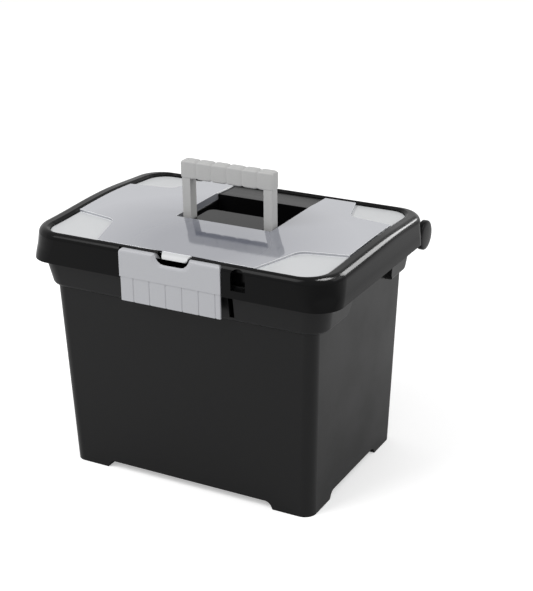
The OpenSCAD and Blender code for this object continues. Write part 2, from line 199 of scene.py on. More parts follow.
def ring(half_x, half_y, front_corner, back_corner, z, middle_y=0, steps=16):
    """A level rounded rectangle whose front and back corners have their own radii."""
    corners = ((1, 1, back_corner), (-1, 1, back_corner), (-1, -1, front_corner), (1, -1, front_corner))
    spots = []
    for quarter, (u, v, radius) in enumerate(corners):
        for i in range(steps + 1):
            turn = math.radians(90 * quarter + 90 * i / steps)
            x = u * (half_x - radius) + radius * math.cos(turn)
            y = middle_y + v * (half_y - radius) + radius * math.sin(turn)
            spots.append(place(x, y, z))
    return spots


def prism(outline, low, high):
    """An upright prism over an outline of x, y points."""
    bm = bmesh.new()
    face = bm.faces.new([bm.verts.new(place(x, y, low)) for x, y in outline])
    raised = bmesh.ops.extrude_face_region(bm, geom=[face])["geom"]
    top = [v for v in raised if isinstance(v, bmesh.types.BMVert)]
    bmesh.ops.translate(bm, vec=(0, 0, (high - low) * MM), verts=top)
    bmesh.ops.recalc_face_normals(bm, faces=bm.faces)
    return bm


def rod(radius, left, right, y, z, sides=48):
    """A round rod along X."""
    bm = bmesh.new()
    bmesh.ops.create_cone(bm, cap_ends=True, segments=sides, radius1=radius * MM, radius2=radius * MM,
        depth=(right - left) * MM)
    bmesh.ops.rotate(bm, cent=(0, 0, 0), matrix=Matrix.Rotation(math.radians(90), 3, "Y"), verts=bm.verts)
    bmesh.ops.translate(bm, vec=place((left + right) / 2, y, z), verts=bm.verts)
    return bm


def mirrored(bm):
    """A copy of a solid on the other side of the box, still facing outwards."""
    copy = bm.copy()
    bmesh.ops.scale(copy, vec=(-1, 1, 1), verts=copy.verts)
    bmesh.ops.reverse_faces(copy, faces=copy.faces)
    return copy


def to_object(bm, name):
    """Makes the bmesh an object whose place is in its mesh."""
    mesh = bpy.data.meshes.new(name)
    bm.to_mesh(mesh)
    bm.free()
    piece = bpy.data.objects.new(name, mesh)
    bpy.context.scene.collection.objects.link(piece)
    return piece


def bake(piece):
    """Makes the shape that the piece's modifiers give its own mesh."""
    seen = piece.evaluated_get(bpy.context.evaluated_depsgraph_get())
    mesh = bpy.data.meshes.new_from_object(seen)
    piece.modifiers.clear()
    piece.data = mesh
    return piece


def combine(piece, tools, operation):
    """Joins or cuts the piece with other solids, and applies the result."""
    for tool in tools:
        step = piece.modifiers.new(tool.name, "BOOLEAN")
        step.operation = operation
        step.solver = "EXACT"
        step.object = tool
    bake(piece)
    for tool in tools:
        bpy.data.objects.remove(tool)
    return piece


def cut(piece, *solids):
    """Cuts solids, given as bmeshes or objects, out of a piece."""
    return combine(piece, as_objects(solids), "DIFFERENCE")


def join(piece, *solids):
    """Joins solids, given as bmeshes or objects, to a piece."""
    return combine(piece, as_objects(solids), "UNION")


def as_objects(solids):
    """Makes an object of each solid that is still a bmesh."""
    return [s if isinstance(s, bpy.types.Object) else to_object(s, "tool") for s in solids]


def report(piece):
    """Prints how many faces a piece has and how large it is."""
    size = [round(side / MM, 1) for side in piece.dimensions]
    print(f"{piece.name}: {len(piece.data.polygons)} faces, {size} mm")


# %% [markdown]
# No moulded edge is razor sharp. A narrow bevel on every edge catches a thin line of light, as the
# real pieces do, and weighted normals keep the large walls flat while the roundings stay smooth.

# %% Soft edges


def round_edges(piece, width, segments, angle=32, material=-1):
    """Puts a narrow rounding on every sharp edge, with its own material if one is given."""
    bevel = piece.modifiers.new("soft edges", "BEVEL")
    bevel.width = width * MM
    bevel.segments = segments
    bevel.limit_method = "ANGLE"
    bevel.angle_limit = math.radians(angle)
    bevel.material = material
    return piece


def even_normals(piece):
    """Smooths the shading of the roundings and keeps large faces flat."""
    for face in piece.data.polygons:
        face.use_smooth = True
    flat = piece.modifiers.new("flat faces", "WEIGHTED_NORMAL")
    flat.keep_sharp = True
    flat.weight = 50
    return piece


def soften(piece, width=0.5, segments=2, angle=32):
    """Rounds the sharp edges of a finished piece and evens its normals."""
    round_edges(piece, width, segments, angle)
    piece.modifiers["soft edges"].harden_normals = True
    return even_normals(piece)


# %% [markdown]
# The top of the lid isn't flat. Along its short sides it rises by almost three millimetres up to the
# middle. Behind the middle it falls again, and its back edge lies a little under the flat height.
# The short sides look bowed, because their corners are drawn in. Round the handle the lid stays
# level. Such a crown stiffens a thin moulding. It is given to the finished lid and cover by moving
# their points, after extra edges are laid across their upper parts, so that every hollow and step
# follows the same curve.

# %% Crown of the lid
CROWN_MIDDLE, CROWN_REACH = 15, 118
CROWN_START, CROWN_FULL = 282, 286
CROWN_INNER, CROWN_OUTER = 62, 165
CROWN_RISE, BACK_FALL, BACK_DIP = 2.6, 4.3, 1.7
BOW, BOW_START, BOW_INNER, BOW_OUTER = 1.8, 262, 120, 180
CUTS_X, CUTS_Y = range(70, 171, 10), range(-124, 131, 6)
SHARP_ANGLE = 35


def swell(y):
    """A smooth curve along the short sides: 1 in their middle, 0 at the front and back corners."""
    return 0.5 + 0.5 * math.cos(math.pi * max(y - CROWN_MIDDLE, -CROWN_REACH) / CROWN_REACH)


def ramp(value, low, high):
    """Goes from 0 at low to 1 at high."""
    return min(1, max(0, (value - low) / (high - low)))


def crown(x, y):
    """How far the top stands above its flat height: the rise fades out towards the handle."""
    rise = CROWN_RISE * swell(y) if y < CROWN_MIDDLE else BACK_FALL * swell(y) - BACK_DIP
    share = ramp(abs(x), CROWN_INNER, CROWN_OUTER)
    eased = share * share * (3 - 2 * share)
    return min(0, rise) + max(0, rise) * eased


def crown_piece(piece):
    """Lays edges across a piece, lifts its top part to the crown and draws its corners in."""
    bm = bmesh.new()
    bm.from_mesh(piece.data)
    level = [(place(0, 0, z), (0, 0, 1)) for z in (CROWN_START, CROWN_FULL)]
    upright = [(place(0, y, 0), (0, 1, 0)) for y in CUTS_Y]
    upright += [(place(x * u, 0, 0), (1, 0, 0)) for x in CUTS_X for u in (-1, 1)]
    for spot, facing in level + upright:
        # Once the level cuts are there, only what lies above them needs more edges
        lowest = (CROWN_START - 0.05) * MM if facing[2] == 0 else 0
        faces = [f for f in bm.faces if min(v.co.z for v in f.verts) > lowest]
        edges = dict.fromkeys(e for f in faces for e in f.edges)
        verts = dict.fromkeys(v for f in faces for v in f.verts)
        bmesh.ops.bisect_plane(bm, geom=[*verts, *edges, *faces], plane_co=spot, plane_no=facing,
            dist=0.002 * MM)
    for vert in bm.verts:
        x, y, z = vert.co.x / MM, (vert.co.y - LID_MIDDLE_Y) / MM, vert.co.z / MM
        vert.co.z += crown(x, y) * ramp(z, CROWN_START, CROWN_FULL) * MM
        inward = BOW * (1 - swell(y)) * ramp(z, BOW_START, CROWN_FULL) * ramp(abs(x), BOW_INNER, BOW_OUTER)
        vert.co.x -= math.copysign(inward * MM, x)
    bm.to_mesh(piece.data)
    bm.free()
    piece.data.set_sharp_from_angle(angle=math.radians(SHARP_ANGLE))
    return piece


# %% [markdown]
# The tub is one deep moulding. Its walls lean outwards by about two degrees, so that it leaves the
# mould and empty tubs stack. Four feet are left by gaps in the lower edge. Near the top a collar
# steps out to carry the lid, but in the middle of each short side the wall stays straight: there
# fingers reach under the ledge, and inside it carries the rails for hanging folders.

# %% Tub: the drafted walls
BASE_X, BASE_Y, DRAFT, TUB_Y = 156.5, 111, 0.0336, 2
WALL = 2.5
LEDGE_TOP, RIM = 249.5, 268
FOOT_HEIGHT, FOOT_LENGTH, FOOT_DEPTH = 9, 46, 48
WALL_R, INNER_WALL_R = 14, 12
# FAR is past the box on all four sides, for tools that cut right through
FAR = 200


def drafted(inset, low, high, corner):
    """A box with the tub's leaning walls, drawn in by inset."""
    half_x = BASE_X + DRAFT * low - inset
    half_y = BASE_Y + DRAFT * low - inset
    bm = box(-half_x, half_x, TUB_Y - half_y, TUB_Y + half_y, low, high)
    middle = place(0, TUB_Y, (low + high) / 2)
    upper = [v for v in bm.verts if v.co.z > middle.z]
    spread = DRAFT * (high - low)
    bmesh.ops.scale(bm, vec=(1 + spread / half_x, 1 + spread / half_y, 1),
        space=Matrix.Translation(-middle), verts=upper)
    return round_off(bm, edges_along(bm, 2), corner, 12)


tub = to_object(drafted(0, 0, LEDGE_TOP, WALL_R), "tub_shell")
report(tub)

# %% [markdown]
# The collar is a second, wider box on top of the walls, which leans out and then stands upright. It
# is shaped twice, once as the outside and once as the hollow, and each time the space of the finger
# scoops is cut out of it first. The hollow's scoops are larger, so that a wall is left round them.

# %% Tub: the collar under the lid
COLLAR_BOTTOM, COLLAR_STRAIGHT = 224, 262
COLLAR_LOW_X, COLLAR_HIGH_X = 173, 180
COLLAR_LOW_FRONT, COLLAR_HIGH_FRONT, COLLAR_BACK = -120, -126, 121.5
COLLAR_R, COLLAR_FOOT_R = 24, 4
SCOOP_FRONT, SCOOP_BACK, SCOOP_TOP = -50, 58, 247
SCOOP_INNER, SCOOP_BOTTOM, SCOOP_LOW, SCOOP_BEND, SCOOP_FLARE = 150, 180, 222, 233, 1.2


def collar(inset, low, lip):
    """The collar's outer or inner shape: it leans out up to the lid and then stands upright."""
    half_x = COLLAR_HIGH_X - inset
    bm = box(-half_x, half_x, COLLAR_HIGH_FRONT + inset, COLLAR_BACK - inset, low, RIM + lip)
    lay_edges(bm, 2, COLLAR_STRAIGHT)
    foot = [v for v in bm.verts if v.co.z < place(0, 0, low + 1).z]
    bmesh.ops.scale(bm, vec=((COLLAR_LOW_X - inset) / half_x, 1, 1), verts=foot)
    front = [v for v in foot if v.co.y < 0]
    bmesh.ops.translate(bm, vec=(0, (COLLAR_LOW_FRONT - COLLAR_HIGH_FRONT) * MM, 0), verts=front)
    round_off(bm, edges_along(bm, 2, 0.9), COLLAR_R - inset, 12)
    return round_off(bm, edges_below(bm, low + 0.1), COLLAR_FOOT_R, 5)


def scoop(grow):
    """The straight part of the short side, as the space that is left free of the collar."""
    bm = box(SCOOP_INNER, FAR, SCOOP_FRONT - grow, SCOOP_BACK + grow, SCOOP_BOTTOM, SCOOP_TOP + grow)
    lay_edges(bm, 2, SCOOP_LOW)
    lay_edges(bm, 2, SCOOP_BEND)
    middle = place(0, (SCOOP_FRONT + SCOOP_BACK) / 2, 0)
    flared = [v for v in bm.verts if v.co.z < place(0, 0, SCOOP_LOW + 1).z]
    bmesh.ops.scale(bm, vec=(1, SCOOP_FLARE, 1), space=Matrix.Translation(-middle), verts=flared)
    round_off(bm, edges_at(edges_along(bm, 0), 2, SCOOP_BEND), 7, 5)
    return round_off(bm, edges_at(edges_along(bm, 0), 2, SCOOP_TOP + grow), 8, 6)


collar_piece = to_object(collar(0, COLLAR_BOTTOM, 0), "collar")
cut(collar_piece, scoop(0), mirrored(scoop(0)))
join(tub, collar_piece)
report(tub)

# %% [markdown]
# Two solids are cut out of the tub: the drafted walls drawn in by their thickness, and the collar's
# inner shape. Both stand past the rim, so that the top is cut open cleanly.

# %% Tub: hollow it out
TOOL_LIP = 3
inner_collar = to_object(collar(WALL, COLLAR_BOTTOM + WALL, TOOL_LIP), "inner_collar")
cut(inner_collar, scoop(WALL), mirrored(scoop(WALL)))
FLOOR_TOP = FOOT_HEIGHT + WALL
inner_walls = drafted(WALL, FLOOR_TOP, RIM + TOOL_LIP, INNER_WALL_R)
round_off(inner_walls, edges_below(inner_walls, FLOOR_TOP + 0.5), 3, 4)
cut(tub, inner_walls, inner_collar)
report(tub)

# %% [markdown]
# The feet are what is left when a low gap is cut right through under the floor, once from side to
# side and once from front to back. The ends of the gaps slope, and each foot is hollow inside.

# %% Tub: the gaps between the feet
FOOT_SLOPE, GAP_R = 0.6, 5
FOOT_HOLLOW_X, FOOT_HOLLOW_Y, FOOT_HOLLOW_TOP, FOOT_HOLLOW_R = 18, 19, 14, 5


def foot_gap(axis):
    """A low gap right through under the floor, with sloped ends and rounded upper corners."""
    half = BASE_X - FOOT_LENGTH if axis == 1 else BASE_Y - FOOT_DEPTH
    slope = FOOT_HEIGHT * FOOT_SLOPE
    if axis == 1:
        bm = box(-half, half, -FAR, FAR, -3, FOOT_HEIGHT)
    else:
        bm = box(-FAR, FAR, TUB_Y - half, TUB_Y + half, -3, FOOT_HEIGHT)
    upper = [v for v in bm.verts if v.co.z > 0]
    shrink = 1 - slope / half
    middle = place(0, TUB_Y if axis == 0 else 0, 0)
    bmesh.ops.scale(bm, vec=(shrink if axis == 1 else 1, shrink if axis == 0 else 1, 1),
        space=Matrix.Translation(-middle), verts=upper)
    return round_off(bm, edges_at(edges_along(bm, axis), 2, FOOT_HEIGHT), GAP_R, 5)


def foot_hollows():
    """The hollow inside of each foot."""
    for x in (-1, 1):
        for y in (-1, 1):
            middle_x = x * (BASE_X - FOOT_LENGTH / 2)
            middle_y = TUB_Y + y * (BASE_Y - FOOT_DEPTH / 2)
            yield rounded_box(middle_x - FOOT_HOLLOW_X, middle_x + FOOT_HOLLOW_X, middle_y - FOOT_HOLLOW_Y,
                middle_y + FOOT_HOLLOW_Y, WALL, FOOT_HOLLOW_TOP, FOOT_HOLLOW_R, 4)


cut(tub, foot_gap(0), foot_gap(1), *foot_hollows())
report(tub)

# %% [markdown]
# The collar has a narrow slot beside the latch. The rails, the ridge that the latch snaps under and
# the ears for the hinge pins are all moulded in with the tub, so they are joined to it and are not
# separate pieces. The ears' round ends are drilled last, so that the hole goes through both parts.

# %% Tub: slot, rails, ridge and ears
HINGE_Y, HINGE_Z = 124.8, 262
PIN_HOLE = 3.26
RAIL_X, RAIL_Y, RAIL_TOP = 152, 92, 257
EAR_IN, EAR_OUT, EAR_FRONT, EAR_LOW, EAR_RISE, EAR_R = 175.5, 181.5, 94, 253.2, 1.5, 9
RIDGE_X, RIDGE_FRONT, RIDGE_BACK, RIDGE_LOW, RIDGE_TOP = 40, -125.6, -121, 238, 241

ledge_x = BASE_X + DRAFT * LEDGE_TOP
shelf = box(RAIL_X, ledge_x - 1, -RAIL_Y, RAIL_Y, LEDGE_TOP - WALL, LEDGE_TOP)
upstand = box(RAIL_X, RAIL_X + WALL, -RAIL_Y, RAIL_Y, LEDGE_TOP - WALL + 0.2, RAIL_TOP)
ear_arm = box(EAR_IN, EAR_OUT, EAR_FRONT, HINGE_Y, EAR_LOW, RIM)
arm_tip = [v for v in ear_arm.verts if v.co.y > place(0, HINGE_Y - 1, 0).y]
bmesh.ops.translate(ear_arm, vec=(0, 0, EAR_RISE * MM), verts=arm_tip)
ear_round = rod(EAR_R, EAR_IN, EAR_OUT, HINGE_Y, HINGE_Z)
collar_slot = box(66, 72, -140, -105, 229, 258)
ridge = box(-RIDGE_X, RIDGE_X, RIDGE_FRONT, RIDGE_BACK, RIDGE_LOW, RIDGE_TOP)
cut(tub, collar_slot)
join(tub, mirrored(shelf), shelf, mirrored(upstand), upstand, mirrored(ear_arm), ear_arm, mirrored(ear_round),
    ear_round, ridge)
cut(tub, rod(PIN_HOLE, -FAR, -160, HINGE_Y, HINGE_Z), rod(PIN_HOLE, 160, FAR, HINGE_Y, HINGE_Z))
soften(tub, 0.7, 3)
report(tub)

# %% [markdown]
# The lid is a shallow shell with a broad rounded rim. Its top holds three hollows: the seat of the
# cover, the tray under it, and a well in the middle for the folded handle. The hollow under the lid
# comes first. It leaves the beds of these three standing, and thin ribs that stiffen the rim.

# %% Lid: the shell and the hollow under it
SEAT_FRONT, SEAT_BACK, SEAT_X, SEAT_R = -123.4, 122.4, 172.9, 24.4
COVER_UNDER, COVER_TOP, PAD_DROP = 289, 291, 3
TRAY_X, TRAY_FRONT, TRAY_BACK, TRAY_R, TRAY_FLOOR = 165.5, -117, 113.5, 20, 266
WELL_X, WELL_FRONT, WELL_BACK, WELL_FLOOR, WELL_TOP = 59.7, -15.3, 80.5, 262, 282
CUT_X, CUT_FRONT = 61.2, -16.4
PLATEAU_X, PLATEAU_BACK, PLATEAU_TOP = 45.4, 34, 287
TAB_X, TAB_HALF, NOTCH_X = 4.5, 18.5, 3
LATCH_X, LATCH_FRONT, LATCH_WALL = 62.8, -134, 2.6
POCKET_X = LATCH_X + 0.8
PIVOT_Y, PIVOT_Z, BARREL = -129.5, 285.5, 4.5
POCKET_BACK = LATCH_FRONT + LATCH_WALL + 0.3
TRUNNION_Z, TRUNNION_R, TRUNNION_BORE, TRUNNION_BOSS = 276, 4, 4.06, 5.8
LOW_CORNER_R, SKIRT_BANDS, BAND_HEIGHT, FRONT_GROWS, BACK_GROWS = 31, 4, 5.5, 2.5, 0.75
RIM_ROUND, RIM_STEPS, RIM_FRONT_R, RIM_BACK_R = 8, 16, 41, 34
SIDE_WALL, END_WALL, TOP_WALL, FLOOR_WALL = 3, 2.5, 2.6, 2.2
UNDER_FRONT_R, UNDER_BACK_R = 37, 31
BED_X, BED_FRONT, BED_BACK, BED_UNDER, BED_R = 175.6, -125.5, 125, 283.4, 28
LATCH_BED_X, LATCH_BEAM_UNDER = 70, 278
RIB_WALL, RIBS_Y, RIBS_X = 2, (-80, -20, 40, 90), (-150, -110, 110, 150)
# Tools reach past the lid. Many end at heights of their own, because faces that lie in one plane
# make a Boolean less reliable
AHEAD, BELOW, ABOVE = -140, 240, 300


def lid_shell():
    """The outer shape of the lid: its front corners are wider at the top, and its rim is round."""
    rings = []
    for i in range(SKIRT_BANDS):
        front_r = LOW_CORNER_R + FRONT_GROWS * i
        back_r = LOW_CORNER_R + BACK_GROWS * i
        rings.append(ring(LID_X, LID_Y, front_r, back_r, SKIRT_BOTTOM + BAND_HEIGHT * i))
    for i in range(RIM_STEPS + 1):
        turn = math.radians(90 * i / RIM_STEPS)
        inset = RIM_ROUND * (1 - math.cos(turn))
        z = LID_TOP - RIM_ROUND + RIM_ROUND * math.sin(turn)
        rings.append(ring(LID_X - inset, LID_Y - inset, RIM_FRONT_R - inset, RIM_BACK_R - inset, z))
    return loft(rings)


def lid_underside():
    """The hollow under the lid, with what has to stay left standing in it."""
    low, high = 250, LID_TOP - TOP_WALL
    half_x, half_y = LID_X - SIDE_WALL, LID_Y - END_WALL
    outlines = [ring(half_x, half_y, UNDER_FRONT_R, UNDER_BACK_R, z) for z in (low, high)]
    hollow = to_object(loft(outlines), "hollow")
    keep = [
        rounded_box(-BED_X, BED_X, BED_FRONT, BED_BACK, BED_UNDER, ABOVE, BED_R),
        rounded_box(-TRAY_X - WALL, TRAY_X + WALL, TRAY_FRONT - WALL, TRAY_BACK + WALL,
            TRAY_FLOOR - FLOOR_WALL, ABOVE + 1, TRAY_R + WALL),
        box(-WELL_X - WALL, WELL_X + WALL, WELL_FRONT - WALL, WELL_BACK + WALL,
            WELL_FLOOR - FLOOR_WALL, ABOVE + 2),
        box(-LATCH_BED_X, LATCH_BED_X, AHEAD, POCKET_BACK + WALL, BELOW, ABOVE + 3),
        box(-LATCH_BED_X, LATCH_BED_X, AHEAD, TRAY_FRONT - 1, LATCH_BEAM_UNDER, ABOVE + 4),
    ]
    keep += [box(-FAR, FAR, y, y + RIB_WALL, RIM, ABOVE + 5) for y in RIBS_Y]
    keep += [box(x - RIB_WALL, x, AHEAD, 0, RIM, ABOVE + 6) for x in RIBS_X]
    return cut(hollow, *keep)


lid = to_object(lid_shell(), "lid_shell")
cut(lid, lid_underside())
report(lid)

# %% [markdown]
# The cover's seat, the tray and the well are hollows of the lid, so each is shaped as the space that
# it leaves. The seat is a loft that opens out towards the rim. At the corners it is deeper, where
# the cover's pads lie: one outline of a pad, mirrored to the four corners, serves lid and cover.

# %% Lid: the seat of the cover, the tray and the well
PAD_ARC_X, PAD_ARC_FRONT, PAD_ARC_BACK, PAD_ARC_R = 130, 72.8, 83.8, 18
PAD_SIDE_SLANT, PAD_INNER_SLANT = math.radians(10.2), math.radians(17.2)
PAD_REACH, PAD_ARC_STEPS = 130, 10
SEAT_GAP = 0.4
LAND_X, LAND_UNDER = 58.3, 286.6


def pad_outline(x, y, grow):
    """The corner at which one pad lies: an arc between two slanted edges, and the outer corner."""
    radius, arc_y = PAD_ARC_R + grow, PAD_ARC_FRONT if y < 0 else PAD_ARC_BACK
    first, last = math.pi + PAD_INNER_SLANT, 1.5 * math.pi - PAD_SIDE_SLANT
    turns = [first + (last - first) * i / PAD_ARC_STEPS for i in range(PAD_ARC_STEPS + 1)]
    points = [(PAD_ARC_X + radius * math.cos(t), arc_y + radius * math.sin(t)) for t in turns]
    side_x = points[-1][0] + PAD_REACH * math.cos(PAD_SIDE_SLANT)
    side_y = points[-1][1] - PAD_REACH * math.sin(PAD_SIDE_SLANT)
    inner_x = points[0][0] - PAD_REACH * math.sin(PAD_INNER_SLANT)
    inner_y = points[0][1] + PAD_REACH * math.cos(PAD_INNER_SLANT)
    points += [(side_x, side_y), (side_x, inner_y), (inner_x, inner_y)]
    return [(x * u, y * v) for u, v in points]


def pad_corner(x, y, grow, low, high):
    """The space of one corner pad."""
    return prism(pad_outline(x, y, grow), low, high)


CORNERS = [(x, y) for x in (-1, 1) for y in (-1, 1)]


def pad_seat(x, y):
    """The deeper part of the seat under one pad."""
    whole = rounded_box(-SEAT_X, SEAT_X, SEAT_FRONT, SEAT_BACK, COVER_UNDER - PAD_DROP, ABOVE, SEAT_R)
    corner = pad_corner(x, y, SEAT_GAP, 280, ABOVE + 1)
    return combine(to_object(whole, "seat"), as_objects([corner]), "INTERSECT")


def plateau(front):
    """The raised part of the well between the handle's legs."""
    bm = box(-PLATEAU_X, PLATEAU_X, front, PLATEAU_BACK, 240.5, PLATEAU_TOP)
    round_off(bm, edges_at(edges_along(bm, 2), 1, PLATEAU_BACK), 9, 8)
    front_edge = edges_at(bm.edges, 1, front)
    top = [e for e in edges_at(bm.edges, 2, PLATEAU_TOP) if e not in front_edge]
    return round_off(bm, top, 1.5, 3)


def tray():
    """The organizer tray, which goes round the handle well in a U."""
    bm = rounded_box(-TRAY_X, TRAY_X, TRAY_FRONT, TRAY_BACK, TRAY_FLOOR, ABOVE, TRAY_R)
    hollow = to_object(round_off(bm, edges_below(bm, TRAY_FLOOR + 0.1), 3, 4), "tray")
    return cut(hollow,
        box(-WELL_X - WALL, WELL_X + WALL, WELL_FRONT - WALL, FAR, BELOW, WELL_TOP),
        box(-CUT_X + SEAT_GAP, CUT_X - SEAT_GAP, WELL_BACK, FAR + 1, BELOW + 1, COVER_UNDER),
        plateau(WELL_FRONT - SEAT_GAP),
        rod(TRUNNION_BOSS, WELL_X, 66, 0, TRUNNION_Z),
        rod(TRUNNION_BOSS, -66, -WELL_X, 0, TRUNNION_Z))


def well():
    """The well for the folded handle, with the raised plateau between the handle's legs."""
    bm = rounded_box(-WELL_X, WELL_X, WELL_FRONT, WELL_BACK, WELL_FLOOR, ABOVE, 3, 4)
    return cut(to_object(bm, "well"), plateau(WELL_FRONT - 30))


RIM_INNER, RIM_SLOPE = 289.7, 3.6
seat_y, seat_half = (SEAT_FRONT + SEAT_BACK) / 2, (SEAT_BACK - SEAT_FRONT) / 2
seat = loft([ring(SEAT_X + grow, seat_half + grow, SEAT_R + grow, SEAT_R + grow, z, seat_y)
    for z, grow in ((COVER_UNDER, 0), (RIM_INNER, 0), (LID_TOP + 0.1, RIM_SLOPE), (ABOVE, RIM_SLOPE))])
under_land = box(-LAND_X, LAND_X, WELL_BACK + WALL, TRAY_BACK, BELOW, LAND_UNDER)
cut(lid, seat, *[pad_seat(x, y) for x, y in CORNERS])
cut(lid, tray(), well(), under_land)
report(lid)

# %% [markdown]
# At the front the lid steps back for the latch, and a round groove lets the latch's barrel turn.
# The slot right of the latch is taken for a padlock's shackle. At the rear corners the skirt is cut
# away round the hinge heads, and along the back it ends higher, so that it can swing down when the
# lid opens.

# %% Lid: latch pocket, padlock slot and hinge corners
SLOT_LEFT, SLOT_RIGHT, SLOT_LOW, SLOT_TOP, SLOT_R = 74.5, 92, 265, 289.5, 8
TAB_ROOM, TAB_ROOM_BACK, TAB_ROOM_LOW = 2, -122, 283.5
BACK_TRIM_X, BACK_TRIM_TOP = 176.2, 266
HEAD_ROOM, CORNER_ROOM = 18.2, 17.7
BOSS_IN, BOSS_OUT, BOSS_R = 168, 175.2, 6
WEB_FRONT, WEB_BACK, WEB_TOP = 5.9, 0.5, 290.2
LID_EDGE = 0.45


def padlock_slot():
    """A slot in the skirt with a rounded top."""
    bm = box(SLOT_LEFT, SLOT_RIGHT, -150, -125.5, SLOT_LOW, SLOT_TOP)
    return round_off(bm, edges_at(edges_along(bm, 1), 2, SLOT_TOP), SLOT_R, 10)


cut(lid,
    box(-POCKET_X, POCKET_X, AHEAD, POCKET_BACK, BELOW, ABOVE),
    rod(BARREL + 0.4, -POCKET_X, POCKET_X, PIVOT_Y, PIVOT_Z),
    box(-POCKET_X, POCKET_X, AHEAD - 1, PIVOT_Y + 0.3, PIVOT_Z, ABOVE + 1),
    box(TAB_X - TAB_HALF - TAB_ROOM, TAB_X + TAB_HALF + TAB_ROOM, AHEAD - 2, TAB_ROOM_BACK, TAB_ROOM_LOW,
        ABOVE + 2),
    padlock_slot(),
    box(-BACK_TRIM_X, BACK_TRIM_X, COLLAR_BACK + SEAT_GAP, 140, BELOW, BACK_TRIM_TOP))
for side in (1, -1):
    clear = rod(HEAD_ROOM, BOSS_OUT, FAR, HINGE_Y, HINGE_Z)
    below = box(BOSS_OUT, FAR + 1, HINGE_Y - CORNER_ROOM, 150, BELOW, HINGE_Z)
    boss = rod(BOSS_R, BOSS_IN, BOSS_OUT, HINGE_Y, HINGE_Z)
    web = box(BOSS_IN, BOSS_OUT - 0.1, HINGE_Y - WEB_FRONT, HINGE_Y - WEB_BACK, HINGE_Z, WEB_TOP)
    bore = rod(PIN_HOLE, 160, 180, HINGE_Y, HINGE_Z)
    trunnion_bore = rod(TRUNNION_BORE, WELL_X - 1, 65, 0, TRUNNION_Z)
    solids = [clear, below, boss, web, bore, trunnion_bore]
    if side < 0:
        solids = [mirrored(solid) for solid in solids]
    cut(lid, *solids[:2])
    join(lid, *solids[2:4])
    cut(lid, *solids[4:])
even_normals(crown_piece(bake(round_edges(lid, LID_EDGE, 2))))
report(lid)

# %% [markdown]
# The cover is one thin clear moulding. Its middle is a raised glossy cross, and the four corners
# are lower frosted pads, which look like places for the feet of a box stacked on top. Round the
# handle it is cut out, with a short flange turned down, and at the front a small tab bends over the
# rim.

# %% Organizer cover
COVER_X, COVER_FRONT, COVER_BACK, COVER_R = 172.5, -123, 122, 24
FLANGE_WALL, FLANGE_BOTTOM, FLANGE_BACK, FLANGE_TOP = 1.6, 282.3, 111, 290
TAB_LIP, TAB_ROOT, TAB_TAPER, TAB_LIP_R = -131.2, -121, 0.8, 3
# Where the tab bends, and by how much each bend lowers all that lies ahead of it
TAB_BENDS = ((-123.5, 0.7), (-125, 0.9), (-126.5, 1.0), (-128, 1.1), (-129.5, 1.2))
# The bevel on the cover's edges takes the material slot of the painted edge highlight
COVER_EDGE, HIGHLIGHT_SLOT, FROST_SLOT = 0.9, 2, 1


def cover_flange():
    """The short wall that turns down round the cut-out."""
    return box(-CUT_X - FLANGE_WALL, CUT_X + FLANGE_WALL, CUT_FRONT - FLANGE_WALL, FLANGE_BACK, FLANGE_BOTTOM,
        FLANGE_TOP)


def cover_tab():
    """The front tab, narrower at its lip and bent down by steps."""
    bm = box(TAB_X - TAB_HALF, TAB_X + TAB_HALF, TAB_LIP, TAB_ROOT, COVER_UNDER, COVER_TOP)
    lip = [v for v in bm.verts if v.co.y < place(0, TAB_LIP + 0.2, 0).y]
    bmesh.ops.scale(bm, vec=(TAB_TAPER, 1, 1), space=Matrix.Translation(-place(TAB_X, 0, 0)), verts=lip)
    round_off(bm, [e for e in edges_along(bm, 2) if e.verts[0] in lip], TAB_LIP_R, 5)
    for y, drop in TAB_BENDS:
        lay_edges(bm, 1, y)
        ahead = [v for v in bm.verts if v.co.y < place(0, y, 0).y - 0.01 * MM]
        bmesh.ops.translate(bm, vec=(0, 0, -drop * MM), verts=ahead)
    return bm


slab = rounded_box(-COVER_X, COVER_X, COVER_FRONT, COVER_BACK, COVER_UNDER - PAD_DROP, COVER_TOP, COVER_R)
cover = to_object(slab, "cover_shell")
hollow = to_object(box(-FAR - 1, FAR + 1, -FAR - 2, FAR + 3, 279, COVER_UNDER), "hollow")
cut(hollow, *[pad_corner(x, y, 0, 270, ABOVE) for x, y in CORNERS])
cut(cover, hollow)
cut(cover, *[pad_corner(x, y, -FLANGE_WALL, COVER_TOP - PAD_DROP, ABOVE) for x, y in CORNERS])
join(cover, cover_flange(), cover_tab())
opening = box(-CUT_X, CUT_X, CUT_FRONT, FAR + 2, 270, 310)
round_off(opening, edges_at(edges_along(opening, 2), 1, CUT_FRONT), 2, 4)
cut(cover, opening)
# Three empty places for materials, because the bevel gives its faces the last of them, the painted edge
# highlight
for _ in range(3):
    cover.data.materials.append(None)
even_normals(crown_piece(bake(round_edges(cover, COVER_EDGE, 3, material=HIGHLIGHT_SLOT))))
report(cover)

# %% [markdown]
# The latch is one light grey moulding. The upper half is smooth and curves in at the top, where
# its barrel turns in the lid on two thin pins. The lid of this scene has no holes for these pins, so
# their ends sit inside its wall, out of sight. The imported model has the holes. The lower half is a
# ribbed grip, set back a little. A scooped notch in the upper edge lets a finger reach the cover's
# tab.

# %% Latch
GRIP_TOP, LATCH_BOTTOM, GROOVE_PITCH = 258, 230, 20.4
# Half of the finger notch's outline, from above the latch down to its lowest edge
NOTCH_OUTLINE = ((-23, 300), (-22.5, 292), (-20.4, 286.5), (-17.6, 282.4), (-14.2, 279.8), (-10.6, 279))
